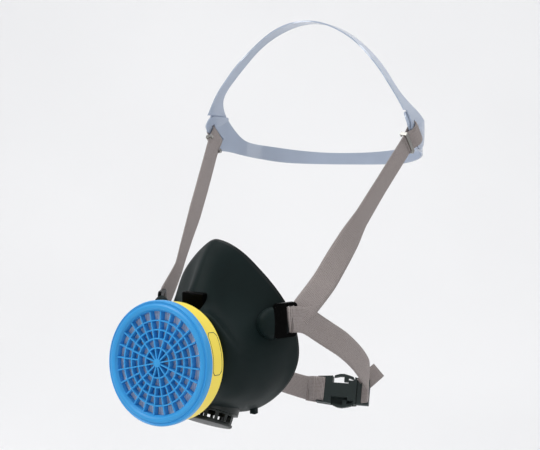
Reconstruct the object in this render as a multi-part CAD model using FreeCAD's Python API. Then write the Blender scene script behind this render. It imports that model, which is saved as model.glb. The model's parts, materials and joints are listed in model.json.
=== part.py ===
import FreeCAD, Part
import math
import os

# Half-mask respirator with one front cartridge, a head cradle and a neck strap.
# Millimetres. +Z is up, -Y is the front of the mask, +X is the wearer's left.
# The origin lies in the face opening, on the symmetry plane.

V = FreeCAD.Vector
os.makedirs("parts", exist_ok=True)


# ---------------------------------------------------------------- helpers

def save(shape, node):
    shape.exportStep("parts/" + node + ".step")
    solids = len(shape.Solids)
    print(node, "solids", solids, "volume", round(shape.Volume, 1), "valid", shape.isValid())


def fused(shapes):
    result = shapes[0]
    for shape in shapes[1:]:
        result = result.fuse(shape)
    return result.removeSplitter()


def mirrored(shape):
    return shape.mirror(V(0, 0, 0), V(1, 0, 0))


def placed(shape, base, angle_about_x):
    copy = shape.copy()
    copy.Placement = FreeCAD.Placement(base, FreeCAD.Rotation(V(1, 0, 0), angle_about_x))
    return copy


def turned(points):
    # a solid of revolution about Z from (radius, z) corners
    corners = [V(r, 0, z) for r, z in points]
    wire = Part.makePolygon(corners + [corners[0]])
    return Part.Face(wire).revolve(V(0, 0, 0), V(0, 0, 1), 360)


def tube(outer, inner, z0, z1):
    body = Part.makeCylinder(outer, z1 - z0, V(0, 0, z0))
    hole = Part.makeCylinder(inner, z1 - z0 + 2, V(0, 0, z0 - 1))
    return body.cut(hole)


def disc(radius, z0, z1):
    return Part.makeCylinder(radius, z1 - z0, V(0, 0, z0))


def spoke(r0, r1, width, z0, z1, angle):
    bar = Part.makeBox(r1 - r0, width, z1 - z0, V(r0, -width / 2, z0))
    bar.rotate(V(0, 0, 0), V(0, 0, 1), angle)
    return bar


def closed_spline(points):
    curve = Part.BSplineCurve()
    curve.interpolate(Points=points, PeriodicFlag=True)
    return Part.Wire([curve.toShape()])


def polygon_prism(points, direction):
    wire = Part.makePolygon(points + [points[0]])
    return Part.Face(wire).extrude(direction)


def spline_prism(points, direction):
    return Part.Face(closed_spline(points)).extrude(direction)


def strip(centres, width, thickness, hint):
    # a flat band that follows the centre points, its width turned towards hint
    wires = []
    count = len(centres)
    for i in range(count):
        ahead = centres[min(i + 1, count - 1)]
        behind = centres[max(i - 1, 0)]
        along = ahead.sub(behind)
        along.normalize()
        across = hint.sub(along * along.dot(hint))
        across.normalize()
        out = along.cross(across)
        w = across * (width / 2.0)
        t = out * (thickness / 2.0)
        c = centres[i]
        corners = [c + w + t, c + w - t, c - w - t, c - w + t]
        wires.append(Part.makePolygon(corners + [corners[0]]))
    return Part.makeLoft(wires, True, True)


def smooth_path(points, pieces):
    curve = Part.BSplineCurve()
    curve.interpolate(Points=points)
    return [curve.value(curve.FirstParameter
                        + (curve.LastParameter - curve.FirstParameter) * i / pieces)
            for i in range(pieces + 1)]


# ---------------------------------------------------------------- main sizes

webbing_width = 18.3
webbing_thick = 1.4

cartridge_tilt = 7.1                     # the cartridge looks up by this angle
cartridge_front = V(0, -89.9, -6.65)     # centre of the grille opening
cartridge_turn = 90 - cartridge_tilt     # turns local +Z into the cartridge axis
axis_out = V(0, -math.cos(math.radians(cartridge_tilt)), math.sin(math.radians(cartridge_tilt)))

chin_tilt = 27.0                         # the chin valve looks down and forward
chin_centre = V(0, -28.2, -52.2)
chin_turn = 180 - chin_tilt

upper_pivot = V(0, 3.5, 22.0)            # the upper straps turn about this line behind the loops
neck_pivot = V(0, 3.5, 14.6)             # the neck straps turn about this one


def on_cartridge(shape):
    return placed(shape, cartridge_front, cartridge_turn)


def on_chin(shape):
    return placed(shape, chin_centre, chin_turn)


# ---------------------------------------------------------------- facepiece shell

# frontal sections of the outer skin: y, then half-outline from the top down
skin_sections = [
    (-50, [(0, 26.5), (11, 25), (24, 15.5), (37, 1.5), (40.5, -15), (34, -30.5), (19, -40.5), (0, -43)]),
    (-42, [(0, 38.0), (7.2, 34.8), (16.8, 22.4), (35.4, 5.5), (42.8, -13), (37, -32.5), (21, -43.5), (0, -46)]),
    (-33, [(0, 52.5), (7.2, 48.5), (16.8, 31), (35.8, 11.5), (45.3, -11), (39.5, -33.5), (22.5, -47), (0, -50.5)]),
    (-22, [(0, 65.3), (9.4, 60.8), (20.6, 43.8), (38.6, 17.8), (47.9, -9.5), (41.8, -35), (23, -50.6), (0, -55.5)]),
    (-9, [(0, 71), (16.0, 65.8), (31.6, 50.6), (44.5, 23.8), (49.7, -8.5), (43.2, -35), (23.8, -53.6), (0, -60)]),
    (4, [(0, 73), (20, 67), (36, 52), (48.4, 25), (50.6, -8), (43.9, -35), (24.4, -55.6), (0, -63)]),
    (17, [(0, 74), (21.5, 67.5), (38, 52), (49.8, 25), (51.2, -8), (44.4, -35), (24.8, -56.6), (0, -65)]),
]

# the rear edge that meets the face, seen from the side: (y, z) from nose to chin
seal_line = [(-18.5, 74), (-17.5, 69), (-14, 60), (-11.5, 50), (-9, 41), (-5, 30), (-0.5, 20), (4, 10),
             (7.5, 0), (10.5, -10), (11.5, -20), (9.8, -30), (7, -40), (4.2, -50), (2.8, -58), (2.6, -67)]

wall = 3.0
lip_thick = 2.4


def whole_outline(half):
    right = [(x, z) for x, z in half]
    left = [(-x, z) for x, z in reversed(half[1:-1])]
    return right + left


def inset(outline, distance):
    # move each corner of a closed outline inwards by a distance
    moved = []
    count = len(outline)
    for i in range(count):
        x0, z0 = outline[i - 1]
        x1, z1 = outline[(i + 1) % count]
        dx, dz = x1 - x0, z1 - z0
        size = math.hypot(dx, dz)
        x, z = outline[i]
        moved.append((x + distance * dz / size, z - distance * dx / size))
    return moved


def mount_ring(distance, radius):
    # a circle square to the cartridge axis, distance behind the grille opening
    centre = cartridge_front - axis_out * distance
    up = V(0, math.sin(math.radians(cartridge_tilt)), math.cos(math.radians(cartridge_tilt)))
    angles = [0, 26, 51, 77, 103, 129, 154, 180]
    angles = angles + [360 - a for a in reversed(angles[1:-1])]
    return [centre + V(radius * math.sin(math.radians(a)), 0, 0) + up * (radius * math.cos(math.radians(a)))
            for a in angles]


def skin(offset, front_distance, front_radius):
    wires = [closed_spline(mount_ring(front_distance, front_radius))]
    for y, half in skin_sections:
        outline = whole_outline(half)
        if offset:
            outline = inset(outline, offset)
        shift = offset * 0.6 if y < -40 else 0
        wires.append(closed_spline([V(x, y + shift, z) for x, z in outline]))
    return Part.makeLoft(wires, True, False)


def behind_seal(shift):
    # everything behind the seal line, moved along Y by shift
    line = Part.BSplineCurve()
    line.interpolate([V(-120, y + shift, z) for y, z in seal_line])
    first = V(-120, seal_line[0][0] + shift, seal_line[0][1])
    last = V(-120, seal_line[-1][0] + shift, seal_line[-1][1])
    edges = [line.toShape(),
             Part.makeLine(last, V(-120, 60, last.z)),
             Part.makeLine(V(-120, 60, last.z), V(-120, 60, first.z)),
             Part.makeLine(V(-120, 60, first.z), first)]
    return Part.Face(Part.Wire(edges)).extrude(V(240, 0, 0))


outer_skin = skin(0, 29, 34)
inner_skin = skin(wall, 33, 30.5)

# rubber housings on the cheeks that hold the strap loops
boss_dir = V(0.738, 0.675, 0)
boss_out = V(0.675, -0.738, 0)


def side_boss():
    # half a ball lying along the cheek, flattened across it and cut off square behind
    radius, flat = 11.2, 0.6
    start = V(48.3, -22.4, 13.0)
    ball = Part.makeSphere(radius).common(Part.makeBox(20, 40, 40, V(-20, -20, -20)))
    squeeze = FreeCAD.Matrix()
    squeeze.scale(1, flat, 1)
    body = ball.transformGeometry(squeeze)
    body.Placement = FreeCAD.Placement(start, FreeCAD.Rotation(V(1, 0, 0), boss_dir))
    return body


bosses = [side_boss()]
bosses.append(mirrored(bosses[0]))

# round rubber seat under the chin for the exhalation valve
chin_boss = on_chin(disc(19.0, -8, 0))
chin_pad = on_chin(disc(24.5, -8, 0)).common(outer_skin)
cover_room = on_chin(tube(21.2, 19.0, -3.6, 10))
beyond_boss = on_chin(disc(21.2, 0, 12))

# the plastic frame that carries the cartridge
lug_profile = [(-60.4, 12), (-59.6, 19.5), (-52, 20.5), (-49.5, 21.5), (-49.5, 34.2), (-44.2, 34.2),
               (-44.2, 27), (-51, 18), (-57.5, 10)]
lug_notch = Part.makeBox(18.0, 27, 20, V(-9.0, -72, 20.5))
lug = polygon_prism([V(-8.7, y, z) for y, z in lug_profile], V(17.4, 0, 0))
lug_edges = [e for e in lug.Edges if abs(e.Vertexes[0].Point.z - 34.2) < 0.01
             and abs(e.Vertexes[-1].Point.z - 34.2) < 0.01]
try:
    lug = lug.makeFillet(1.2, lug_edges)
except Exception:
    print("lug kept its sharp top edges")

spool = turned([(20, -26), (30, -26), (30, -29), (24, -29), (24, -33), (28, -33), (28, -36), (20, -36)])
bore_clear = on_cartridge(disc(20, -40, -20))
spool_neck = on_cartridge(disc(24, -40, -20))
connector = fused([on_cartridge(spool), lug.cut(spool_neck)])
connector = connector.cut(bore_clear)

shell = fused([outer_skin] + bosses)
shell = shell.cut(inner_skin)
shell = fused([shell, chin_pad, chin_boss])
shell = shell.cut(cover_room).cut(beyond_boss)
shell = shell.cut(behind_seal(-lip_thick))
shell = shell.cut(spool_neck)
shell = shell.cut(connector).cut(lug_notch)
shell = shell.cut(on_chin(disc(15.5, -14, 1)))
solids = sorted(shell.Solids, key=lambda s: s.Volume)
shell = solids[-1]

# sockets in the cheek housings for the strap loops
loop_dir = V(0.436, 0.900, 0)
loop_out = V(0.900, -0.436, 0)
loop_start = V(48.0, -26.0, 14.6)


def loop_block(u0, u1, v0, v1, t0, t1):
    corners = [loop_start + loop_dir * u + V(0, 0, v0) + loop_out * t
               for u, t in ((u0, t0), (u1, t0), (u1, t1), (u0, t1))]
    return polygon_prism(corners, V(0, 0, v1 - v0))


def strap_loop():
    stem = loop_block(-2, 10, -6.5, 4.5, -1.3, 1.3)
    plate = loop_block(3, 22.3, -12.2, 12.2, -1.3, 1.3)
    corners = []
    for edge in plate.Edges:
        a, b = edge.Vertexes[0].Point, edge.Vertexes[-1].Point
        along = b.sub(a)
        along.normalize()
        if abs(along.dot(loop_out)) > 0.99:
            corners.append(edge)
    plate = plate.makeFillet(3.4, corners)
    slot = loop_block(13.6, 18.3, -9.6, 9.6, -3, 3)
    return fused([stem, plate]).cut(slot)


loop = strap_loop()
stem_room = loop_block(-2, 8, -6.5, 4.5, -1.3, 1.3)
for room in (stem_room, mirrored(stem_room)):
    shell = shell.cut(room)
loop = loop.common(loop_block(-5, 30, -20, 20, -4, 4))
for piece in (loop, mirrored(loop)):
    shell = shell.cut(piece)
shell = sorted(shell.Solids, key=lambda s: s.Volume)[-1]

save(shell, "facepiece_shell")

# in-turned lip that lies on the face
lip = outer_skin.common(behind_seal(-lip_thick)).cut(behind_seal(0))
mouth_half = [(0, 57), (8.5, 53.5), (18, 41), (29, 22), (36.5, 0), (35.5, -18), (27, -34), (13, -45), (0, -48)]
mouth = spline_prism([V(x, -60, z) for x, z in whole_outline(mouth_half)], V(0, 120, 0))
lip = lip.cut(mouth)
lip = sorted(lip.Solids, key=lambda s: s.Volume)[-1]
save(lip, "face_seal")

save(connector, "connector_frame")
save(loop, "strap_loop_left")
save(mirrored(loop), "strap_loop_right")

# the webbing that runs round each loop's outer bar, inside the slot
wrap = loop_block(16.7, 18.1, -9.15, 9.15, -1.3, 2.6)
save(wrap, "loop_wrap_left")
save(mirrored(wrap), "loop_wrap_right")

# two small nubs under the chin edge, held between finger and thumb to seat the mask
nub = Part.makeBox(5.0, 5.0, 9.0, V(18.0, -5.0, -59.8))
nub = nub.makeFillet(1.2, [e for e in nub.Edges if abs(e.Vertexes[0].Point.z - e.Vertexes[-1].Point.z) > 8])
nub = sorted(nub.cut(outer_skin).Solids, key=lambda s: s.BoundBox.ZMin)[0]
save(nub, "chin_nub_left")
save(mirrored(nub), "chin_nub_right")

# inhalation valve seat and its post
seat_ring = tube(20, 17, -35, -33)
seat_parts = [seat_ring, disc(3.6, -35, -33)]
for k in range(6):
    seat_parts.append(spoke(2, 18, 1.6, -35, -33, 60 * k))
post = fused([disc(1.8, -41, -33), disc(3.2, -41.5, -40)])
inhalation_seat = fused(seat_parts + [post])
save(on_cartridge(inhalation_seat), "inhalation_seat")
flap = tube(18.3, 2.2, -36.4, -35.4)
save(on_cartridge(flap), "inhalation_valve")

# exhalation valve seat, flap and cover; local +Z points out of the chin
ring = tube(15.5, 12.2, -6.0, -1.5)
seat_parts = [ring, tube(3.4, 1.9, -4.5, -2.5)]
for k in range(5):
    seat_parts.append(spoke(2.6, 13, 1.5, -4.5, -2.5, 72 * k + 18))
save(on_chin(fused(seat_parts)), "exhalation_seat")
flap = fused([disc(14.2, -1.2, -0.2), disc(1.84, -7.4, -1.0), turned([(0, -10), (1.4, -10), (2.7, -7.3), (0, -7.3)])])
save(on_chin(flap), "exhalation_valve")

cover = turned([(19.35, -3.0), (20.6, -3.0), (20.6, 2.0), (17.6, 2.4), (17.2, 8.6), (18.2, 9.2),
                (18.2, 10.4), (17.4, 11.0), (0, 11.6), (0, 10.0), (15.6, 9.4), (16.2, 0.4), (19.35, 0.4)])
for k in range(14):
    window = Part.makeBox(6, 5.2, 5.0, V(14.2, -2.6, 3.2))
    window.rotate(V(0, 0, 0), V(0, 0, 1), 360.0 / 14 * k)
    cover = cover.cut(window)
save(on_chin(cover), "valve_cover")

# ---------------------------------------------------------------- cartridge

opening_radius = 33.8
cap = turned([(33.8, -5.2), (41.0, -5.2), (41.0, -1.9), (40.7, -0.8), (40.1, -0.1),
              (39.4, -0.5), (38.9, -0.5), (38.4, 0.3), (37.4, 0.8), (36.0, 0.8), (34.9, 0.3), (33.8, -1.4)])
save(on_cartridge(cap), "filter_cap")

rib = 0.9
rib_back, rib_front = -5.2, -0.8
rings = [0.29, 0.47, 0.64, 0.82]
grille = [disc(2.8, rib_back, -0.5)]
for share in rings:
    r = share * opening_radius
    grille.append(tube(r + rib / 2, r - rib / 2, rib_back, rib_front - 0.1))
for k in range(24):
    inner = 2.0 if k % 2 else rings[1] * opening_radius
    grille.append(spoke(inner, opening_radius, rib, rib_back, rib_front, 15 * k))
grille = fused(grille).common(disc(opening_radius, -6, 2))
save(on_cartridge(grille), "cap_grille")

canister = turned([(15, -20.65), (38.2, -20.65), (39.7, -19.2), (39.7, -5.3),
                   (37.4, -5.3), (37.4, -18.6), (15, -18.6)])
save(on_cartridge(canister), "canister")
save(on_cartridge(disc(37.3, -8.2, -5.6)), "dust_prefilter")
front_mesh = disc(37.3, -9.1, -8.3)
rear_mesh = disc(37.3, -18.5, -17.7)
for ring_index, count in ((0, 1), (1, 6), (2, 12), (3, 18), (4, 24)):
    for k in range(count):
        a = 2 * math.pi * k / count
        x, y = 7.4 * ring_index * math.cos(a), 7.4 * ring_index * math.sin(a)
        hole = Part.makeCylinder(1.8, 20, V(x, y, -22))
        front_mesh = front_mesh.cut(hole)
        rear_mesh = rear_mesh.cut(hole)
save(on_cartridge(front_mesh), "front_mesh")
save(on_cartridge(disc(37.3, -17.6, -9.2)), "carbon_bed")
save(on_cartridge(rear_mesh), "rear_mesh")
neck = turned([(16.2, -20.7), (27, -20.7), (27, -23.9), (19.7, -23.9), (19.7, -31.8), (16.2, -31.8)])
save(on_cartridge(neck), "cartridge_neck")
save(on_cartridge(tube(26, 20.5, -25.8, -24.1)), "cartridge_gasket")

# ---------------------------------------------------------------- head cradle

cradle_x = 94.3
band_thick = 1.2


def filled(points, direction):
    # the region inside a bent band, closed by a line between its two ends
    curve = Part.BSplineCurve()
    curve.interpolate(points)
    edges = [curve.toShape(), Part.makeLine(points[-1], points[0])]
    return Part.Face(Part.Wire(edges)).extrude(direction)


def back_path(offset):
    # the soft sheet lies a little squarer at its left corner than at its right one
    wide = cradle_x + offset
    points = [V(wide, y, 90) for y in (96, 102, 108, 114)]
    for k in range(0, 31):
        t = math.pi * k / 30
        if k < 15:
            across, back = math.cos(t) ** 0.8, math.sin(t) ** 0.8
            points.append(V(wide * across, 122 + (58.2 + offset) * back, 90))
        else:
            points.append(V(wide * math.cos(t), 120.3 + (59.9 + offset) * math.sin(t), 90))
    return points + [V(-wide, y, 90) for y in (114, 108, 102, 96)]


def crown_path(offset):
    wide = cradle_x + offset
    points = [V(wide, 80, z) for z in (100, 112, 124, 135, 144)]
    for k in range(1, 42):
        t = math.pi * k / 42
        rise = abs(math.sin(t)) ** 1.78
        points.append(V(wide * math.cos(t), 80, 153.3 + (82.6 + offset) * rise))
    return points + [V(-wide, 80, z) for z in (144, 135, 124, 112, 100)]


def head_room(offset):
    # everything inside both bent sheets, as if they were moved out by offset
    return filled(back_path(offset), upward).common(filled(crown_path(offset), rearward))


# outlines of the two sheets seen from the side: (y, z)
back_outline = [(188, 126.4), (184, 128.4), (180.2, 130.2), (174.8, 132.4), (164.8, 135.9), (155.8, 138.3),
                (149.8, 140.9), (144.4, 145.9), (139.2, 152.6), (135.0, 158.6), (132.6, 161.6), (129.5, 162.3),
                (118, 162.3), (108.0, 162.2), (104.6, 160.6), (103.0, 156.4), (103.4, 152.6), (106.2, 149.3),
                (114.5, 141.9), (119.0, 137.7), (123.4, 133.9), (127.5, 132.2), (136, 131.0), (144.1, 129.0),
                (155.8, 125.6), (161.4, 124.0), (170.9, 121.2), (177, 120.2), (184, 119.6), (188, 119.4)]
crown_outline = [(103.0, 196), (103.9, 205), (106.6, 225), (108.2, 242), (119.0, 242), (118.6, 225),
                 (117.2, 207), (114.9, 194), (113.1, 184.4), (114.0, 178.2), (117.0, 173.6), (121.2, 169.6),
                 (127, 165.4), (132.6, 161.2), (136.6, 155), (138.3, 147), (136.9, 139.4), (132.0, 134.6),
                 (126.6, 133.6), (123.4, 134.8), (119.0, 138.3), (114.5, 142.6), (108.0, 148.4), (104.8, 151.4),
                 (102.9, 155), (102.2, 160), (102.2, 166), (101.4, 176), (101.6, 187)]


def side_prism(wire):
    return Part.Face(wire).extrude(V(260, 0, 0))


def rounded_side(outline):
    return side_prism(closed_spline([V(-130, y, z) for y, z in outline]))


def band_side(outline):
    curve = Part.BSplineCurve()
    curve.interpolate([V(-130, y, z) for y, z in outline])
    ends = [V(-130, y, z) for y, z in (outline[-1], outline[0])]
    return side_prism(Part.Wire([curve.toShape(), Part.makeLine(ends[0], ends[1])]))


slot_centre = V(0, 120.3, 148.5)
strap_x = 60.0
slot_dir = V(0, slot_centre.z - 14.97, -(slot_centre.y - 1.0))
slot_dir.normalize()
face_dir = V(0, slot_dir.z, -slot_dir.y)       # in the cradle's side plane, down the strap


def slot_prism(half_length, half_width):
    corners = []
    for a, b in ((1, 1), (-1, 1), (-1, -1), (1, -1)):
        p = slot_centre + slot_dir * (half_length * a) + face_dir * (half_width * b)
        corners.append(V(-130, p.y, p.z))
    return polygon_prism(corners, V(260, 0, 0))


slots = slot_prism(10.3, 1.5)
layer_gap = 0.4
upward = V(0, 0, 180)
rearward = V(0, 125, 0)
notch = Part.makeBox(260, 12, 14, V(-130, 95.2, 149.2))      # the crown sheet's stepped front corner
back_band = head_room(band_thick).common(band_side(back_outline))
back_band = back_band.cut(head_room(0)).cut(slots)
save(sorted(back_band.Solids, key=lambda s: s.Volume)[-1], "back_band")
crown_band = head_room(2 * band_thick + layer_gap).common(rounded_side(crown_outline))
crown_band = crown_band.cut(head_room(band_thick + layer_gap)).cut(slots).cut(notch)
save(sorted(crown_band.Solids, key=lambda s: s.Volume)[-1], "crown_band")

# ---------------------------------------------------------------- upper straps

half_w = webbing_width / 2.0
layer_x_at_slot = 91.9                         # inner layer, where it starts to lean


def flat_block(start, along, across, normal, length, width, thick):
    corners = [start + across * (width / 2.0 * a) + normal * (thick / 2.0 * b)
               for a, b in ((1, 1), (-1, 1), (-1, -1), (1, -1))]
    return polygon_prism(corners, along * length)


def side_profile(points, half):
    # a prism from (x, distance down the strap from the slot) corners
    corners = []
    for x, down in points:
        p = slot_centre + face_dir * down - slot_dir * half
        corners.append(V(x, p.y, p.z))
    return polygon_prism(corners, slot_dir * (2 * half))


# corners of the strap seen along its width: (x, distance down from the slot)
strap_run = (slot_centre.y - upper_pivot.y) * -face_dir.y + (slot_centre.z - upper_pivot.z) * -face_dir.z
lean_start = strap_run - 12
lean = (layer_x_at_slot - strap_x) / (lean_start - 10)
two_layer = 19.0
layer_x = layer_x_at_slot - lean * (two_layer - 10)
strap_faces = [(strap_x + 0.7, strap_run + 12), (strap_x + 0.7, lean_start), (layer_x + 0.7, two_layer),
               (layer_x + 2.2, two_layer), (94.0, 11.0), (98.7, 8.2), (98.7, -0.7), (91.9, -0.7), (91.3, 10),
               (strap_x - 0.7, lean_start), (strap_x - 0.7, strap_run + 12)]
upper_strap = side_profile(strap_faces, half_w)
upper_strap = upper_strap.cut(side_profile([(93.3, 0.7), (97.3, 0.7), (97.3, 7.6), (93.1, 10.4)], 12))
end_zone = side_profile([(50, strap_run), (70, strap_run), (70, strap_run + 20), (50, strap_run + 20)], 14)
round_end = Part.makeCylinder(half_w, 20, V(50, upper_pivot.y, upper_pivot.z), V(1, 0, 0))
upper_strap = upper_strap.cut(end_zone.cut(round_end))
upper_strap = upper_strap.cut(back_band).cut(crown_band)
upper_strap = upper_strap.cut(mirrored(back_band)).cut(mirrored(crown_band))
upper_strap = sorted(upper_strap.Solids, key=lambda s: s.Volume)[-1]
save(upper_strap, "upper_strap_left")
save(mirrored(upper_strap), "upper_strap_right")

# metal slider that grips both layers just below the slot
slide_dir = V(-lean, face_dir.y, face_dir.z)
slide_dir.normalize()
slider_out = slot_dir.cross(slide_dir)
slider_out.normalize()
if slider_out.x < 0:
    slider_out = slider_out * -1
slider_mid = slot_centre + face_dir * 14.0 + V(layer_x_at_slot - lean * 4 + 0.75, 0, 0)


def slider_block(half_len, half_wide, t0, t1):
    corners = []
    for a, b in ((1, 1), (-1, 1), (-1, -1), (1, -1)):
        corners.append(slider_mid + slide_dir * (half_len * a) + slot_dir * (half_wide * b) + slider_out * t0)
    return polygon_prism(corners, slider_out * (t1 - t0))


slider = slider_block(1.5, 10.6, -2.8, 2.8).cut(slider_block(4, 9.7, -1.95, 1.95))
slider = slider.cut(slider_block(4, 7.8, -4, -1))      # open along the inside, between two lips
save(slider, "slider_left")
save(mirrored(slider), "slider_right")
print("slider direction", slide_dir, "middle", slider_mid)

# ---------------------------------------------------------------- neck strap and buckle

buckle_mid = V(54.5, 71.0, -56.0)
along = V(35, 10, 0)
along.normalize()
level = V(-along.y, along.x, 0)
buckle_lean = math.radians(30)
across = V(0, 0, math.cos(buckle_lean)) + level * math.sin(buckle_lean)
facing = along.cross(across)


def in_buckle(shape):
    # local x runs along the strap, local y across it, local z out of the buckle's face
    matrix = FreeCAD.Matrix(along.x, across.x, facing.x, buckle_mid.x,
                            along.y, across.y, facing.y, buckle_mid.y,
                            along.z, across.z, facing.z, buckle_mid.z,
                            0, 0, 0, 1)
    copy = shape.copy()
    copy.Placement = FreeCAD.Placement(matrix)
    return copy


def block(x0, x1, y0, y1, z0, z1):
    return Part.makeBox(x1 - x0, y1 - y0, z1 - z0, V(x0, y0, z0))


def rounded(shape, radius, direction):
    edges = []
    for edge in shape.Edges:
        run = edge.Vertexes[-1].Point.sub(edge.Vertexes[0].Point)
        run.normalize()
        if abs(run.dot(direction)) > 0.99:
            edges.append(edge)
    return shape.makeFillet(radius, edges)


def plate(outline, z0, z1):
    return polygon_prism([V(x, y, z0) for x, y in outline], V(0, 0, z1 - z0))


female_half = [(-18, 10.0), (-12, 10.5), (-6.2, 11.0), (-6.2, 5.5), (6.6, 5.5), (6.6, 8.0), (11.4, 8.0),
               (11.4, 10.8), (13.3, 10.4)]
lower_floor = [(-6.3, -5.0), (-6.3, -11.0), (0, -11.0), (11.5, -10.8), (11.5, -5.0)]
female = plate(female_half + [(x, -y) for x, y in reversed(female_half)], -3.6, 3.6)
female = female.fuse(plate(lower_floor, -3.6, -2.4))
female = female.cut(block(-5, 14, -2.2, 2.2, -2.2, 2.2))
female = female.cut(block(10.5, 14, -9.9, 9.9, -2.2, 2.2))
female = female.cut(block(-15.6, -12, -9.6, 9.6, -5, 5))
save(in_buckle(female), "buckle_female")

# each prong turns on a short round root in the male half
root_x, root_y = 15.2, 7.6
male = rounded(block(13.7, 23, -10.2, 10.2, -2.8, 2.8), 1.4, V(1, 0, 0))
male = male.cut(block(17.2, 18.9, -8.9, 8.9, -5, 5)).cut(block(20.3, 21.7, -8.9, 8.9, -5, 5))
for side in (1, -1):
    male = male.cut(Part.makeCylinder(1.3, 3.8, V(root_x, root_y * side, -1.9)))
    male = male.cut(block(13, root_x, root_y * side - 1.3, root_y * side + 1.3, -1.9, 1.9))
guide = block(-3.5, 13.7, -1.6, 1.6, -1.6, 1.6)
save(in_buckle(fused([male, guide])), "buckle_male")


def prong():
    arm = [(root_x, 8.5), (12.0, 8.9), (10.9, 9.3), (9.9, 11.4), (7.5, 12.2), (2.5, 13.4), (-1.0, 13.2), (-5.0, 11.8),
           (-5.4, 10.2), (-1.0, 11.3), (2.6, 11.5), (2.6, 7.3), (6.0, 7.3), (6.0, 10.6), (9.2, 9.6),
           (10.6, 8.6), (12.0, 7.3), (root_x, 6.7)]
    return plate(arm, -1.6, 1.6).fuse(Part.makeCylinder(1.25, 3.2, V(root_x, root_y, -1.6))).removeSplitter()


save(in_buckle(prong()), "buckle_prong_upper")
save(in_buckle(prong().mirror(V(0, 0, 0), V(0, 1, 0))), "buckle_prong_lower")

hint = V(0, 0.2, 1)
male_end = buckle_mid + along * 23.1
female_end = buckle_mid - along * 18.1
near = [V(62.5, 1.5, 16.2), V(63.1, 6.0, 11.6), V(66.0, 11.0, 6.6), V(71, 17.5, 0.4), V(77, 29.6, -8.3),
        V(81, 43.3, -20.4), V(82.8, 54.2, -31.5), V(82.2, 62.2, -40.5), V(79.0, 69.0, -48.5),
        V(76.6, 73.2, -53.4), male_end]
far = [female_end, V(25, 67, -56.5), V(-2, 76, -56.5), V(-34, 78, -52), V(-62, 66, -42), V(-78, 46, -24),
       V(-79, 26, -6), V(-70, 13.5, 4), V(-63.1, 6.0, 11.6), V(-62.5, 1.5, 16.2)]
pivot_disc = Part.makeCylinder(half_w, webbing_thick, V(61.2, neck_pivot.y, neck_pivot.z), V(1, 0, 0))
near_strap = strip(smooth_path(near, 22), webbing_width, webbing_thick, hint).fuse(pivot_disc)
far_strap = strip(smooth_path(far, 30), webbing_width, webbing_thick, hint).fuse(mirrored(pivot_disc))
tail_across = V(4.0, 0, 17.6)
tail_across.normalize()
tail_along = V(4.4, 6.0, -8.4)
tail_along.normalize()
tail = flat_block(V(74.0, 79.1, -41.6), tail_along, tail_across, V(0.78, -0.6, 0), 10.6, 18.0, webbing_thick)
tail = sorted(tail.cut(in_buckle(block(0, 23.05, -14, 14, -4, 3.1))).Solids, key=lambda s: s.Volume)[-1]
near_strap = near_strap.cut(in_buckle(block(0, 23.05, -14, 14, -4, 4))).cut(tail)
far_strap = far_strap.cut(in_buckle(block(-18.05, 0, -14, 14, -4, 4)))
near_strap = sorted(near_strap.Solids, key=lambda s: s.Volume)[-1]
far_strap = sorted(far_strap.Solids, key=lambda s: s.Volume)[-1]
save(near_strap, "neck_strap_left")
save(far_strap, "neck_strap_right")

# the loose end of the webbing, folded back out of the ladder bars
save(tail, "neck_strap_tail")
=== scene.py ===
import math
import bpy
from mathutils import Matrix, Vector
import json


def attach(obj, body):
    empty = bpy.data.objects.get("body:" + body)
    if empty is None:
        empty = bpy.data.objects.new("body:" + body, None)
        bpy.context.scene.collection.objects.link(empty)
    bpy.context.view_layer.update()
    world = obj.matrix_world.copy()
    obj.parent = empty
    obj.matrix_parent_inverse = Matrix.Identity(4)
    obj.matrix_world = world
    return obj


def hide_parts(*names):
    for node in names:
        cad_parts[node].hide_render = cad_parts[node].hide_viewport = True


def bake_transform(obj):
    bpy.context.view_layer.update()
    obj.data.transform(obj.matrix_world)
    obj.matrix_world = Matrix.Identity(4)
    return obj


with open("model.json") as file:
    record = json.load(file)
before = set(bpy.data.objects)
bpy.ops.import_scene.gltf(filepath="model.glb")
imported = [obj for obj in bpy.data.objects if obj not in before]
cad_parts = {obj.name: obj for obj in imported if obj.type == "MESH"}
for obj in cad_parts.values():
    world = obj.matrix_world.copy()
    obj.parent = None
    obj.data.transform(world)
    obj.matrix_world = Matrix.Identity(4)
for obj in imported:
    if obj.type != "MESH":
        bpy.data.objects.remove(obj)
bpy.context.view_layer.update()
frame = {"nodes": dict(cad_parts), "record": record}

nodes = frame["nodes"]
scene = bpy.context.scene
MM = 0.001

# ------------------------------------------------------------------ camera

CAMERA_AT = Vector((0.34560, -0.52403, 0.12911))
CAMERA_AZIMUTH = math.radians(30.84)
CAMERA_PITCH = math.radians(-4.72)
CAMERA_LENS = 57.18

camera_data = bpy.data.cameras.new("camera")
camera = bpy.data.objects.new("camera", camera_data)
scene.collection.objects.link(camera)
scene.camera = camera
camera_data.lens = CAMERA_LENS
camera_data.sensor_width = 36.0
camera_data.clip_start = 0.01
camera_data.clip_end = 20.0
look = Vector((
    -math.sin(CAMERA_AZIMUTH) * math.cos(CAMERA_PITCH),
    math.cos(CAMERA_AZIMUTH) * math.cos(CAMERA_PITCH),
    math.sin(CAMERA_PITCH),
))
camera.location = CAMERA_AT
camera.rotation_euler = look.to_track_quat("-Z", "Y").to_euler()
scene.view_settings.view_transform = "Standard"

# ------------------------------------------------------------------ studio

FLOOR_Z = -0.20
FLOOR_FRONT_Y = -8.0
WALL_Y = 1.15
WALL_TOP_Z = 6.0
COVE_RADIUS = 0.8
COVE_STEPS = 24
BACKDROP_HALF_WIDTH = 6.0


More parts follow.
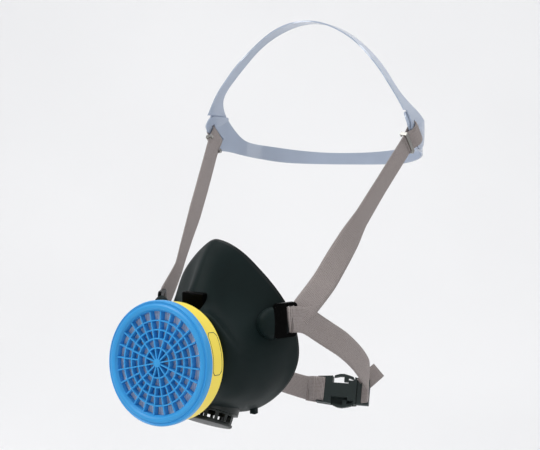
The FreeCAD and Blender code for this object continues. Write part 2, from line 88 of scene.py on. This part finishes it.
def area_light(name, at, target, size, power, colour=(1, 1, 1)):
    data = bpy.data.lights.new(name, "AREA")
    data.shape = "RECTANGLE"
    data.size, data.size_y = size
    data.energy = power
    data.color = colour
    lamp = bpy.data.objects.new(name, data)
    scene.collection.objects.link(lamp)
    lamp.location = at
    lamp.rotation_euler = (Vector(target) - Vector(at)).to_track_quat("-Z", "Y").to_euler()
    return lamp


area_light("key", (-0.7, -1.1, 1.2), (0, 0.03, 0.04), (0.7, 0.7), 13)
area_light("fill", (1.3, -0.9, 0.5), (0, 0.05, 0.05), (0.7, 0.9), 3.5)
area_light("rim", (0.9, 0.85, 0.9), (0, 0.05, 0.1), (0.7, 0.5), 4)
area_light("top", (-0.1, 0.1, 1.5), (0, 0.05, 0.0), (1.0, 1.0), 5)
area_light("backdrop_wash", (0.0, 0.35, 1.6), (-0.5, 1.0, -0.2), (2.4, 0.6), 6)

world = bpy.data.worlds.new("studio")
scene.world = world
world.use_nodes = True
background = world.node_tree.nodes["Background"]
background.inputs["Color"].default_value = (0.95, 0.96, 0.97, 1)
background.inputs["Strength"].default_value = 0.42


# ------------------------------------------------------------------ mesh helpers

def mesh_object(name, verts, faces, smooth=True):
    mesh = bpy.data.meshes.new(name)
    mesh.from_pydata([tuple(v) for v in verts], [], faces)
    mesh.validate()
    mesh.update()
    if smooth:
        mesh.shade_smooth()
    piece = bpy.data.objects.new(name, mesh)
    scene.collection.objects.link(piece)
    return piece


def mm(x, y, z):
    return Vector((x, y, z)) * MM


def curve_through(points, step):
    """Evenly spaced points on a smooth curve through the given points."""
    dense = []
    count = len(points)
    for i in range(count - 1):
        p0 = points[max(i - 1, 0)]
        p1 = points[i]
        p2 = points[i + 1]
        p3 = points[min(i + 2, count - 1)]
        for k in range(16):
            t = k / 16
            a = (p2 - p0) * 0.5
            b = (p3 - p1) * 0.5
            h1 = 2 * t ** 3 - 3 * t ** 2 + 1
            h2 = t ** 3 - 2 * t ** 2 + t
            h3 = -2 * t ** 3 + 3 * t ** 2
            h4 = t ** 3 - t ** 2
            dense.append(p1 * h1 + a * h2 + p2 * h3 + b * h4)
    dense.append(points[-1].copy())
    lengths = [0.0]
    for a, b in zip(dense, dense[1:]):
        lengths.append(lengths[-1] + (b - a).length)
    total = lengths[-1]
    pieces = max(2, round(total / step))
    even = []
    shares = []
    j = 0
    for i in range(pieces + 1):
        goal = total * i / pieces
        while j < len(dense) - 2 and lengths[j + 1] < goal:
            j += 1
        span = max(lengths[j + 1] - lengths[j], 1e-9)
        share = min(max((goal - lengths[j]) / span, 0.0), 1.0)
        even.append(dense[j].lerp(dense[j + 1], share))
        shares.append((j + share) / 16)
    return even, shares, total


WEBBING_WIDTH = 18.3
WEBBING_THICK = 1.4


def webbing(name, points, hints, width=WEBBING_WIDTH, thick=WEBBING_THICK, step=1.0):
    """Flat webbing through points (mm), its width turned towards hints, given at the same points."""
    line, shares, total = curve_through([mm(*p) for p in points], step * MM)
    count = len(line)
    turns = []
    for share in shares:
        low = min(int(share), len(hints) - 2)
        turns.append(Vector(hints[low]).lerp(Vector(hints[low + 1]), share - low))
    half_w = width / 2 * MM
    half_t = thick / 2 * MM
    ring = []
    across_steps = 8
    for k in range(across_steps + 1):
        ring.append((-1 + 2 * k / across_steps, 1))
    for k in range(across_steps + 1):
        ring.append((1 - 2 * k / across_steps, -1))
    verts = []
    uvs = []
    for i, at in enumerate(line):
        along = line[min(i + 1, count - 1)] - line[max(i - 1, 0)]
        along.normalize()
        across = turns[i] - along * along.dot(turns[i])
        across.normalize()
        out = along.cross(across)
        for side, face in ring:
            edge = abs(side) > 0.99
            lift = half_t * face * (0.55 if edge else 1.0)
            verts.append(at + across * (half_w * side) + out * lift)
            uvs.append((total * i / (count - 1), half_w * side))
    size = len(ring)
    faces = []
    for i in range(count - 1):
        for k in range(size):
            n = (k + 1) % size
            faces.append((i * size + k, i * size + n, (i + 1) * size + n, (i + 1) * size + k))
    faces.append(tuple(reversed(range(size))))
    faces.append(tuple((count - 1) * size + k for k in range(size)))
    piece = mesh_object(name, verts, faces)
    layer = piece.data.uv_layers.new(name="weave")
    for loop in piece.data.loops:
        layer.data[loop.index].uv = uvs[loop.vertex_index]
    return piece


# ------------------------------------------------------------------ materials

def new_material(name, colour, rough, metallic=0.0, coat=0.0, specular=0.5):
    material = bpy.data.materials.new(name)
    material.use_nodes = True
    shader = material.node_tree.nodes["Principled BSDF"]
    shader.inputs["Base Color"].default_value = (*colour, 1)
    shader.inputs["Roughness"].default_value = rough
    shader.inputs["Metallic"].default_value = metallic
    shader.inputs["Coat Weight"].default_value = coat
    shader.inputs["Specular IOR Level"].default_value = specular
    return material, material.node_tree, shader


def add(tree, kind, **settings):
    node = tree.nodes.new(kind)
    for key, value in settings.items():
        if key in node.inputs:
            node.inputs[key].default_value = value
        else:
            setattr(node, key, value)
    return node


def noise(tree, scale, detail=3.0, coordinates="Object"):
    place = add(tree, "ShaderNodeTexCoord")
    grain = add(tree, "ShaderNodeTexNoise", Scale=scale, Detail=detail)
    tree.links.new(place.outputs[coordinates], grain.inputs["Vector"])
    return grain


def shaded(tree, factor, dark, light):
    ramp = add(tree, "ShaderNodeValToRGB")
    ramp.color_ramp.elements[0].color = (*dark, 1)
    ramp.color_ramp.elements[1].color = (*light, 1)
    ramp.color_ramp.elements[0].position = 0.3
    ramp.color_ramp.elements[1].position = 0.7
    tree.links.new(factor, ramp.inputs["Fac"])
    return ramp.outputs["Color"]


def between(tree, factor, low, high):
    spread = add(tree, "ShaderNodeMapRange")
    spread.inputs["To Min"].default_value = low
    spread.inputs["To Max"].default_value = high
    tree.links.new(factor, spread.inputs["Value"])
    return spread.outputs["Result"]


def bumped(tree, shader, height, strength, distance):
    bump = add(tree, "ShaderNodeBump", Strength=strength, Distance=distance)
    tree.links.new(height, bump.inputs["Height"])
    tree.links.new(bump.outputs["Normal"], shader.inputs["Normal"])


def tinted(colour, factor):
    return tuple(min(c * factor, 1.0) for c in colour)


def moulded(name, colour, rough, specular=0.4, grain=0.00004, coat=0.0, wear=0.10):
    """Moulded rubber or plastic: cloudy tone, uneven sheen and a fine surface grain."""
    spread = 0.05
    material, tree, shader = new_material(name, colour, rough, coat=coat, specular=specular)
    cloud = noise(tree, 38, 4)
    tone = shaded(tree, cloud.outputs["Fac"], tinted(colour, 1 - wear), tinted(colour, 1 + wear))
    tree.links.new(tone, shader.inputs["Base Color"])
    sheen = noise(tree, 90, 5)
    uneven = between(tree, sheen.outputs["Fac"], rough - spread, rough + spread)
    tree.links.new(uneven, shader.inputs["Roughness"])
    fine = noise(tree, 700, 6)
    bumped(tree, shader, fine.outputs["Fac"], 0.5, grain)
    return material


def ribbed_webbing(name, colour):
    """Elastic webbing: fine ribs across its width, crossed by warp lines, a little fuzzy."""
    material, tree, shader = new_material(name, colour, 0.9, specular=0.12)
    place = add(tree, "ShaderNodeTexCoord")
    ribs = add(tree, "ShaderNodeTexWave", Scale=330.0, Distortion=1.2, Detail=2.0)
    ribs.bands_direction = "X"
    ribs.inputs["Detail Scale"].default_value = 2.0
    tree.links.new(place.outputs["UV"], ribs.inputs["Vector"])
    warp = add(tree, "ShaderNodeTexWave", Scale=300.0, Distortion=0.8, Detail=2.0)
    warp.bands_direction = "Y"
    tree.links.new(place.outputs["UV"], warp.inputs["Vector"])
    weave = add(tree, "ShaderNodeMath", operation="MULTIPLY_ADD")
    tree.links.new(warp.outputs["Fac"], weave.inputs[0])
    weave.inputs[1].default_value = 0.5
    tree.links.new(ribs.outputs["Fac"], weave.inputs[2])
    fuzz = noise(tree, 900, 6)
    thread = add(tree, "ShaderNodeMath", operation="ADD")
    tree.links.new(weave.outputs["Value"], thread.inputs[0])
    tree.links.new(fuzz.outputs["Fac"], thread.inputs[1])
    level = add(tree, "ShaderNodeMath", operation="MULTIPLY")
    tree.links.new(thread.outputs["Value"], level.inputs[0])
    level.inputs[1].default_value = 0.5
    tone = shaded(tree, level.outputs["Value"], tinted(colour, 0.55), tinted(colour, 1.3))
    tree.links.new(tone, shader.inputs["Base Color"])
    bumped(tree, shader, thread.outputs["Value"], 0.8, 0.0003)
    shader.inputs["Sheen Weight"].default_value = 0.08
    return material


def clear_sheet(name, colour):
    """Thin tinted sheet of plastic that lets some light through, with faint drawing streaks."""
    material, tree, shader = new_material(name, colour, 0.16, coat=0.4)
    cloud = noise(tree, 22, 3)
    tone = shaded(tree, cloud.outputs["Fac"], tinted(colour, 0.93), tinted(colour, 1.06))
    tree.links.new(tone, shader.inputs["Base Color"])
    streaks = noise(tree, 60, 4)
    tree.links.new(between(tree, streaks.outputs["Fac"], 0.1, 0.24), shader.inputs["Roughness"])
    bumped(tree, shader, streaks.outputs["Fac"], 0.25, 0.0002)
    shader.inputs["Alpha"].default_value = 0.86
    return material


def plated(name, colour):
    """Bright nickel plate with fine polishing scratches."""
    material, tree, shader = new_material(name, colour, 0.2, metallic=1.0)
    place = add(tree, "ShaderNodeTexCoord")
    stretch = add(tree, "ShaderNodeMapping")
    stretch.inputs["Scale"].default_value = (1.0, 1.0, 12.0)
    tree.links.new(place.outputs["Object"], stretch.inputs["Vector"])
    scratch = add(tree, "ShaderNodeTexNoise", Scale=300.0, Detail=6.0)
    tree.links.new(stretch.outputs["Vector"], scratch.inputs["Vector"])
    tone = shaded(tree, scratch.outputs["Fac"], tinted(colour, 0.85), tinted(colour, 1.1))
    tree.links.new(tone, shader.inputs["Base Color"])
    tree.links.new(between(tree, scratch.outputs["Fac"], 0.12, 0.34), shader.inputs["Roughness"])
    return material


def felt(name, colour):
    """Filter felt pressed in fine upright lines, with loose fibres."""
    material, tree, shader = new_material(name, colour, 0.95)
    place = add(tree, "ShaderNodeTexCoord")
    lines = add(tree, "ShaderNodeTexWave", Scale=210.0, Distortion=1.2, Detail=2.0)
    lines.bands_direction = "X"
    tree.links.new(place.outputs["Object"], lines.inputs["Vector"])
    fibre = noise(tree, 800, 6)
    mixed = add(tree, "ShaderNodeMath", operation="ADD")
    tree.links.new(lines.outputs["Fac"], mixed.inputs[0])
    tree.links.new(fibre.outputs["Fac"], mixed.inputs[1])
    level = between(tree, mixed.outputs["Value"], 0.0, 0.6)
    tone = shaded(tree, level, tinted(colour, 0.74), tinted(colour, 1.2))
    tree.links.new(tone, shader.inputs["Base Color"])
    bumped(tree, shader, mixed.outputs["Value"], 0.6, 0.0004)
    return material


def granular(name, colour):
    """Packed carbon granules."""
    material, tree, shader = new_material(name, colour, 0.7)
    place = add(tree, "ShaderNodeTexCoord")
    grains = add(tree, "ShaderNodeTexVoronoi", Scale=900.0)
    tree.links.new(place.outputs["Object"], grains.inputs["Vector"])
    tone = shaded(tree, grains.outputs["Distance"], tinted(colour, 1.6), tinted(colour, 0.5))
    tree.links.new(tone, shader.inputs["Base Color"])
    bumped(tree, shader, grains.outputs["Distance"], 0.8, 0.0005)
    return material


finishes = {
    "mask_rubber": moulded("mask_rubber", (0.0055, 0.0122, 0.0124), 0.55, 0.12, 0.00003),
    "seal_rubber": moulded("seal_rubber", (0.0060, 0.0100, 0.0105), 0.45, 0.22, 0.00003),
    "black_plastic": moulded("black_plastic", (0.0010, 0.0010, 0.0010), 0.30, 0.04, 0.00002),
    "cover_plastic": moulded("cover_plastic", (0.014, 0.019, 0.018), 0.42, 0.35, 0.00004),
    "valve_rubber": moulded("valve_rubber", (0.36, 0.31, 0.24), 0.55),
    "gasket_rubber": moulded("gasket_rubber", (0.012, 0.012, 0.012), 0.5),
    "blue_plastic": moulded("blue_plastic", (0.042, 0.340, 0.740), 0.36, 0.32, 0.00003, wear=0.05),
    "yellow_plastic": moulded("yellow_plastic", (1.000, 0.780, 0.110), 0.42, 0.25, 0.00003, wear=0.04),
    "filter_felt": felt("filter_felt", (0.90, 0.88, 1.00)),
    "mesh_plastic": moulded("mesh_plastic", (0.7, 0.7, 0.68), 0.5),
    "carbon": granular("carbon", (0.02, 0.02, 0.02)),
    "cradle_plastic": clear_sheet("cradle_plastic", (0.46, 0.53, 0.66)),
    "webbing": ribbed_webbing("webbing", (0.330, 0.290, 0.280)),
    "nickel": plated("nickel", (0.42, 0.41, 0.38)),
    "buckle_plastic": moulded("buckle_plastic", (0.030, 0.042, 0.041), 0.5, 0.3, 0.00006),
}


def finish(piece, slot_name):
    piece.data.materials.clear()
    piece.data.materials.append(finishes[slot_name])


# width in mm of the small rounding on the edges of the moulded and metal parts
rounding = {
    "facepiece_shell": 0.6, "connector_frame": 0.5, "strap_loop_left": 0.5, "strap_loop_right": 0.5,
    "chin_nub_left": 0.4, "chin_nub_right": 0.4, "valve_cover": 0.35,
    "filter_cap": 0.25, "cap_grille": 0.18, "canister": 0.3, "cartridge_neck": 0.3,
    "slider_left": 0.3, "slider_right": 0.3, "back_band": 0.2, "crown_band": 0.2,
    "buckle_female": 0.5, "buckle_male": 0.5, "buckle_prong_upper": 0.4, "buckle_prong_lower": 0.4,
}

for entry in frame["record"]["subparts"]:
    node_name = entry["node"]
    node = nodes[node_name]
    node.data.materials.clear()
    node.data.materials.append(finishes[entry["material_slot"]])
    if node_name in rounding:
        bevel = node.modifiers.new("rounding", "BEVEL")
        bevel.width = rounding[node_name] * MM
        bevel.segments = 2
        bevel.limit_method = "ANGLE"
        bevel.angle_limit = math.radians(32)
        bevel.harden_normals = False

# ------------------------------------------------------------------ webbing

SLOT = Vector((0.0, 120.3, 148.5))
DOWN_STRAP = Vector((0.0, -0.66634, -0.74565))
BUCKLE = Vector((54.5, 71.0, -56.0))
BUCKLE_ALONG = Vector((35, 10, 0)).normalized()
BUCKLE_LEVEL = Vector((-BUCKLE_ALONG.y, BUCKLE_ALONG.x, 0))
BUCKLE_ACROSS = Vector((0, 0, math.cos(math.radians(30)))) + BUCKLE_LEVEL * math.sin(math.radians(30))
BUCKLE_FACE = BUCKLE_ALONG.cross(BUCKLE_ACROSS)


def beside_slot(x, down):
    at = SLOT + DOWN_STRAP * down
    return (x, at.y, at.z)


def in_buckle(x, y, z):
    return tuple(BUCKLE + BUCKLE_ALONG * x + BUCKLE_ACROSS * y + BUCKLE_FACE * z)


def flipped(points):
    return [(-p[0], p[1], p[2]) for p in points]


IN_SLOT = (0.0, -0.74565, 0.66634)


def upper_strap(side):
    """Inner layer from the loop to the slot in the cradle, then out through it.

    Each leaves its loop lying across the cheek and turns on its way up, the left one further.
    """
    slot_side = Vector(IN_SLOT)
    points = [(56.6, -9.6, 15.2), (58.6, -6.2, 15.8), (60.4, -1.0, 20.2)]
    if side > 0:
        level = Vector((-0.75, -0.43, 0.50))
        turning = (0.0, 0.15, 0.45, 0.9, 1.0, 1.0, 1.0, 1.0, 1.0)
        hints = [(0, -0.1, 1), (-0.2, -0.3, 0.9), (-0.5, -0.5, 0.7)]
    else:
        level = Vector((0.28, -0.70, 0.66))
        turning = (0.0, 0.2, 0.5, 0.9, 1.0, 1.0, 1.0, 1.0, 1.0)
        hints = [(0, -0.1, 1), (0, -0.2, 1), (0, -0.4, 0.9)]
    rising = ((150, 65.2), (130, 69.0), (110, 72.7), (90, 76.3), (60, 82.3), (35, 87.6), (18, 91.2),
              (7, 92.4), (2.2, 93.0))
    for (down, x), turned in zip(rising, turning):
        points.append(beside_slot(x, down))
        hints.append(tuple(level.lerp(slot_side, turned)))
    for down, x in ((0.3, 94.2), (0.0, 95.7), (0.2, 97.2), (1.6, 98.3), (3.0, 98.4)):
        points.append(beside_slot(x, down))
        hints.append(IN_SLOT)
    if side < 0:
        points = flipped(points)
    return webbing("upper_webbing_" + ("left" if side > 0 else "right"), points, hints)


def folded_end(side):
    """Outer layer, from the slot down into the slider."""
    run = ((3.0, 98.4), (6.0, 98.3), (9.0, 96.4), (11.5, 94.0), (14.0, 92.7), (17.2, 92.1))
    points = [beside_slot(x, down) for down, x in run]
    if side < 0:
        points = flipped(points)
    return webbing("folded_end_" + ("left" if side > 0 else "right"), points, [IN_SLOT] * len(points))


def neck_run(points):
    """The start of a neck strap, over the outer bar of its loop."""
    start = [(54.6, -12.4, 14.9), (56.2, -12.4, 14.9), (58.5, -9.2, 14.6), (60.3, -5.0, 13.9),
             (62.1, 0.0, 12.4)]
    return start + points


near_points = neck_run([
    (63.9, 5.2, 9.6), (66.6, 11.0, 5.4), (71.0, 18.5, -0.4), (77.0, 29.6, -8.9), (81.0, 43.3, -20.4),
    (82.8, 54.2, -31.5), (82.2, 62.2, -40.5), (79.0, 69.0, -48.5), in_buckle(22.4, 0, 6.4),
    in_buckle(20.2, 0, 5.0), in_buckle(18.2, 0, 3.6), in_buckle(18.0, 0, 0), in_buckle(18.6, 0, -3.6),
    in_buckle(21.4, 0, -3.9),
])
near_hints = [(-0.10, -0.2, 1)] * 5 + [(0, 0.1, 1)] + [(0, 0.2, 1)] * 5
near_hints += [(-0.15, 0.45, 0.85), (-0.25, 0.6, 0.7), (-0.2, 0.55, 0.8)] + [tuple(BUCKLE_ACROSS)] * 5
far_points = flipped(neck_run([
    (63.9, 5.2, 11.8), (66.6, 10.0, 7.4), (70.5, 14.5, 3.2), (78.5, 26.0, -6.0), (78.0, 46.0, -24.0),
    (62.0, 66.0, -42.0), (34.0, 78.0, -52.0), (2.0, 77.0, -56.5),
]))
far_points += [
    (23.0, 70.0, -57.2), in_buckle(-22.0, 0, 3.4), in_buckle(-18.0, 0, 4.6), in_buckle(-13.8, 0, 4.5),
    in_buckle(-12.6, 0, 3.4), in_buckle(-12.7, 0, 0), in_buckle(-13.2, 0, -3.4), in_buckle(-16.0, 0, -4.9),
    in_buckle(-20.0, 0, -4.2), in_buckle(-27.0, 0, -1.2),
]
far_hints = [(0.10, -0.2, 1)] * 5 + [(0, 0.1, 1)] + [(0, 0.2, 1)] * 9 + [tuple(BUCKLE_ACROSS)] * 8

for side, word in ((1, "left"), (-1, "right")):
    strap = upper_strap(side)
    finish(strap, "webbing")
    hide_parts("upper_strap_" + word)
    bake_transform(strap)
    end = folded_end(side)
    finish(end, "webbing")
    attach(end, "head_harness")

near_strap = webbing("neck_webbing_left", near_points, near_hints)
finish(near_strap, "webbing")
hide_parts("neck_strap_left")
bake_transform(near_strap)
far_strap = webbing("neck_webbing_right", far_points, far_hints)
finish(far_strap, "webbing")
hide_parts("neck_strap_right")
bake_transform(far_strap)

tail_points = [(72.9, 77.7, -39.7), (74.0, 79.1, -41.6), (76.2, 82.2, -46.0), (78.2, 85.0, -49.8)]
tail = webbing("webbing_tail", tail_points, [(4.0, 0, 17.6)] * 4, width=18.0)
finish(tail, "webbing")
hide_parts("neck_strap_tail")
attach(tail, "neck_harness")

# ------------------------------------------------------------------ blank label outline

CAP_CENTRE = Vector((0.0, -89.9, -6.65))
CAP_TILT = math.radians(7.1)
CAP_AXIS = Vector((0, -math.cos(CAP_TILT), math.sin(CAP_TILT)))
CAP_UP = Vector((0, math.sin(CAP_TILT), math.cos(CAP_TILT)))


def on_canister(depth, degrees, radius):
    turn = math.radians(degrees)
    sideways = Vector((math.cos(turn), 0, 0)) + CAP_UP * math.sin(turn)
    return (CAP_CENTRE - CAP_AXIS * depth + sideways * radius) * MM


def label_outline():
    """A thin printed frame with cut corners round a blank field on the canister's side."""
    front, back = 7.9, 17.9
    low, high = -6.0, 35.0
    cut, cut_turn = 2.2, 3.2
    corners = [(front, low + cut_turn), (front, high - cut_turn), (front + cut, high), (back - cut, high),
               (back, high - cut_turn), (back, low + cut_turn), (back - cut, low), (front + cut, low)]
    line = 0.42
    ink = 0.07
    skin = 39.7
    steps = 12
    middle = ((front + back) / 2, (low + high) / 2)
    path = []
    for a, b in zip(corners, corners[1:] + corners[:1]):
        for k in range(steps):
            share = k / steps
            path.append((a[0] + (b[0] - a[0]) * share, a[1] + (b[1] - a[1]) * share))
    inner_depth = 1 - line / (back - front) * 2
    inner_turn = 1 - math.degrees(line / skin) / (high - low) * 2
    verts = []
    for depth, turn in path:
        inner = (middle[0] + (depth - middle[0]) * inner_depth, middle[1] + (turn - middle[1]) * inner_turn)
        outer = (depth, turn)
        for at, radius in ((outer, skin), (outer, skin + ink), (inner, skin + ink), (inner, skin)):
            verts.append(on_canister(at[0], at[1], radius))
    count = len(path)
    faces = []
    for i in range(count):
        n = (i + 1) % count
        for k in range(4):
            m = (k + 1) % 4
            faces.append((i * 4 + k, i * 4 + m, n * 4 + m, n * 4 + k))
    return mesh_object("label_outline", verts, faces, smooth=False)


outline = label_outline()
outline.data.materials.append(moulded("print_ink", (0.045, 0.085, 0.070), 0.5, 0.2))
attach(outline, "cartridge")

# ------------------------------------------------------------------ backdrop


def sweep():
    """A pale floor that curves up into a wall, so that no line shows behind the object."""
    profile = [(FLOOR_FRONT_Y, FLOOR_Z)]
    for k in range(COVE_STEPS + 1):
        turn = math.pi / 2 * k / COVE_STEPS
        profile.append((WALL_Y - COVE_RADIUS + COVE_RADIUS * math.sin(turn),
                        FLOOR_Z + COVE_RADIUS - COVE_RADIUS * math.cos(turn)))
    profile.append((WALL_Y, WALL_TOP_Z))
    view = Matrix.Rotation(CAMERA_AZIMUTH, 4, "Z")
    verts = []
    for y, z in profile:
        verts.append(view @ Vector((-BACKDROP_HALF_WIDTH, y, z)))
        verts.append(view @ Vector((BACKDROP_HALF_WIDTH, y, z)))
    faces = [(2 * i, 2 * i + 1, 2 * i + 3, 2 * i + 2) for i in range(len(profile) - 1)]
    piece = mesh_object("backdrop", verts, faces)
    material, tree, shader = new_material("backdrop_paper", (0.93, 0.93, 0.94), 0.9)
    cloud = noise(tree, 3, 2)
    tone = shaded(tree, cloud.outputs["Fac"], (0.80, 0.80, 0.81), (0.82, 0.82, 0.83))
    tree.links.new(tone, shader.inputs["Base Color"])
    piece.data.materials.append(material)


sweep()
